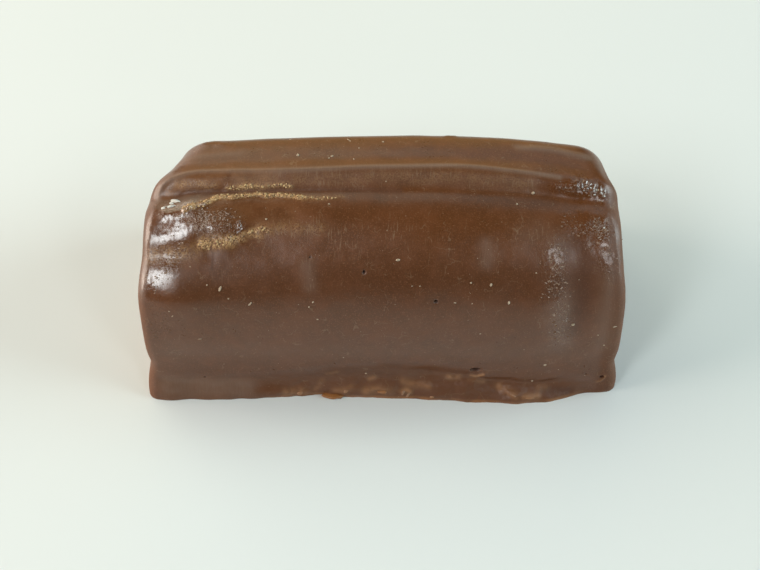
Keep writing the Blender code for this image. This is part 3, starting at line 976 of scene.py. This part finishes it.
def random_specks(draw):
    """Specks of dust all over the skin, the smaller the more."""
    for _ in range(SPECK_COUNT):
        along = draw.uniform(SPECKS_ALONG * LOW[0], SPECKS_ALONG * HIGH[0]) / MM
        place, normal = found_around((along, draw.uniform(*SPECKS_AROUND)))
        if place is None:
            continue
        size = SPECK_SMALLEST + (SPECK_LARGEST - SPECK_SMALLEST) * draw.uniform() ** 3
        shape = size * draw.uniform(1.0, SPECK_LONGEST), size, CRUMB_THICKNESS * size
        yield place, normal, draw.uniform(0.0, 180.0), *shape, draw.uniform(*SPECK_TONES)


def spots_near(laid, each_mm, aside, draw):
    """Random places on the skin near a mark's path, with the skin's direction at each."""
    path = laid["path"]
    length = np.linalg.norm(np.diff(path, axis=0), axis=1).sum() / MM
    for _ in range(int(length * each_mm)):
        spot = Vector(path[draw.randint(len(path))])
        spot += Vector(draw.normal(0.0, aside * laid["width"] * MM, 3))
        yield SKIN_TREE.find_nearest(spot)[:2]


def lip_crumbs(draw):
    """Crumbs of broken coating along the worn lips, each raised to half the lip's height."""
    for name in LIP_CRUMB_MARKS:
        laid = LAID_MARKS[name]
        for place, normal in spots_near(laid, LIP_CRUMBS_EACH_MM * laid["worn"], LIP_CRUMBS_ASIDE, draw):
            lift = normal * 0.5 * laid["height"] * MM
            size = draw.uniform(LIP_CRUMB_SMALLEST, LIP_CRUMB_LARGEST)
            shape = LIP_CRUMB_LENGTH * size, size, LIP_CRUMB_THICKNESS * size
            yield place + lift, normal, draw.uniform(0.0, 180.0), *shape, draw.uniform(0.0, 1.0)


def facing(place):
    """The direction in which a facet at a place mirrors the lamp on its side to the camera."""
    lamp = LIGHTS["left_lamp" if place.x < 0.0 else "right_lamp"]
    to_camera = (camera_place() - place).normalized()
    to_lamp = (light_place(**lamp) - place).normalized()
    return (to_camera + to_lamp).normalized()


def chips():
    """The chips that the photograph shows one by one, their near-white colour a painted highlight."""
    for x, y, length, width, lean in CHIPS:
        place, _ = seen_at((x, y))
        yield place, facing(place), lean, length, width, CHIP_THICKNESS * width, CHIP_HIGHLIGHT_TONE


def facets(draw):
    """Small facets of the crumpled coating, which nearly mirror a lamp."""
    for name, share in FACETS.items():
        laid = LAID_MARKS[name]
        for place, _ in spots_near(laid, FACETS_EACH_MM * laid["width"] * share, FACETS_ASIDE, draw):
            turned = (facing(place) + Vector(draw.normal(0.0, FACET_SCATTER, 3))).normalized()
            size = FACET_SMALLEST + (FACET_LARGEST - FACET_SMALLEST) * draw.uniform() ** 2
            shape = size * draw.uniform(1.0, FACET_LONGEST), size, FACET_THICKNESS * size
            yield place, turned, draw.uniform(*FACET_LEANS), *shape, draw.uniform(0.0, 1.0)


def foot_flakes():
    """Thin flakes of coating at the foot, some on the table just before it."""
    up = Vector((0.0, 0.0, 1.0))
    for x, y, length, width, thickness, lean, tone in FOOT_FLAKES:
        place, normal = seen_at((x, y))
        if place is None:
            ray = pixel_ray((x, y))
            place, normal = camera_place() - ray * (camera_place().z / ray.z), up
        lie = (normal + up).normalized()
        place.z = max(place.z, 0.5 * thickness * MM)
        yield place, lie, lean, length, width, thickness, tone


def make_crumbs(coating):
    tree = ScatterTree()
    skin = tree_of(coating.data)

    crumbs = [*named_crumbs(), *random_specks(np.random.RandomState(SPECK_SEED))]
    finish = crumb_material("pale_crumb", (0.22, 0.12, 0.06), (0.5, 0.4, 0.28))
    tree.scatter("loose_crumbs", crumbs, skin, Finish=finish, Unevenness=0.35, Grain=0.12 * MM, Seed=1.0)

    crumbs = lip_crumbs(np.random.RandomState(LIP_SEED))
    finish = crumb_material("worn_crumb", (0.24, 0.115, 0.042), (0.64, 0.43, 0.205))
    tree.scatter("lip_crumbs", crumbs, skin, Finish=finish, Unevenness=0.5, Grain=0.08 * MM, Seed=2.0)

    crumbs = facets(np.random.RandomState(FACET_SEED))
    finish = crumb_material(
        "glossy_facet", (0.12, 0.045, 0.014), (0.3, 0.2, 0.14), roughness=0.18, bump=0.004 * MM,
    )
    tree.scatter("glossy_facets", crumbs, skin, Finish=finish, Unevenness=0.08, Grain=0.2 * MM, Seed=4.0)

    # The chips' near-white colour is a painted highlight.
    finish = crumb_material("pale_chip", (0.45, 0.42, 0.36), (0.74, 0.72, 0.66))
    tree.scatter("pale_chips", chips(), skin, Finish=finish, Unevenness=0.3, Grain=0.15 * MM, Seed=5.0)

    finish = crumb_material("foot_flake", (0.3, 0.165, 0.09), (0.3, 0.115, 0.028))
    tree.scatter("foot_flakes", foot_flakes(), Finish=finish, Unevenness=0.22, Grain=0.22 * MM, Seed=3.0)


# Table, lights and camera -----------------------


def make_table():
    recipe = Recipe("pale_table", IOR=1.45)
    colour = recipe.mix(recipe.noise(60.0 * MM), (0.75, 0.785, 0.775), (0.78, 0.81, 0.8))
    bpy.ops.mesh.primitive_plane_add(size=2.0)
    table = bpy.context.object
    table.name = "table"
    table.data.materials.append(recipe.finish(Base_Color=colour, Roughness=0.55))


def make_light(name, power, colour, size=PANE_SIZE, height=None, **stand):
    """A soft light that faces the chocolate: a square, or a rectangle where it has a height."""
    light = bpy.data.lights.new(name, "AREA")
    light.shape = "RECTANGLE"
    light.size, light.size_y, light.energy, light.color = size, height or size, power, colour
    lamp = linked_object(name, light)
    lamp.location = light_place(**stand)
    lamp.rotation_euler = lamp.location.to_track_quat("Z", "Y").to_euler()


def make_lights():
    for name, settings in LIGHTS.items():
        make_light(name, **settings)
    world = bpy.data.worlds.new("room")
    bpy.context.scene.world = world
    world.use_nodes = True
    background = world.node_tree.nodes["Background"]
    background.inputs["Color"].default_value = (*ROOM_COLOUR, 1.0)
    background.inputs["Strength"].default_value = ROOM_STRENGTH


def make_camera():
    data = bpy.data.cameras.new("camera")
    data.sensor_width = SENSOR
    data.lens = FOCAL_PIXELS / PHOTO_WIDTH * SENSOR
    data.clip_start = 1.0 * MM
    camera = linked_object("camera", data)
    camera.matrix_world = Matrix.Translation(camera_place()) @ camera_turn().to_4x4()
    bpy.context.scene.camera = camera


make_crumbs(make_coating())
make_table()
make_lights()
make_camera()
bpy.context.scene.view_settings.view_transform = "Standard"
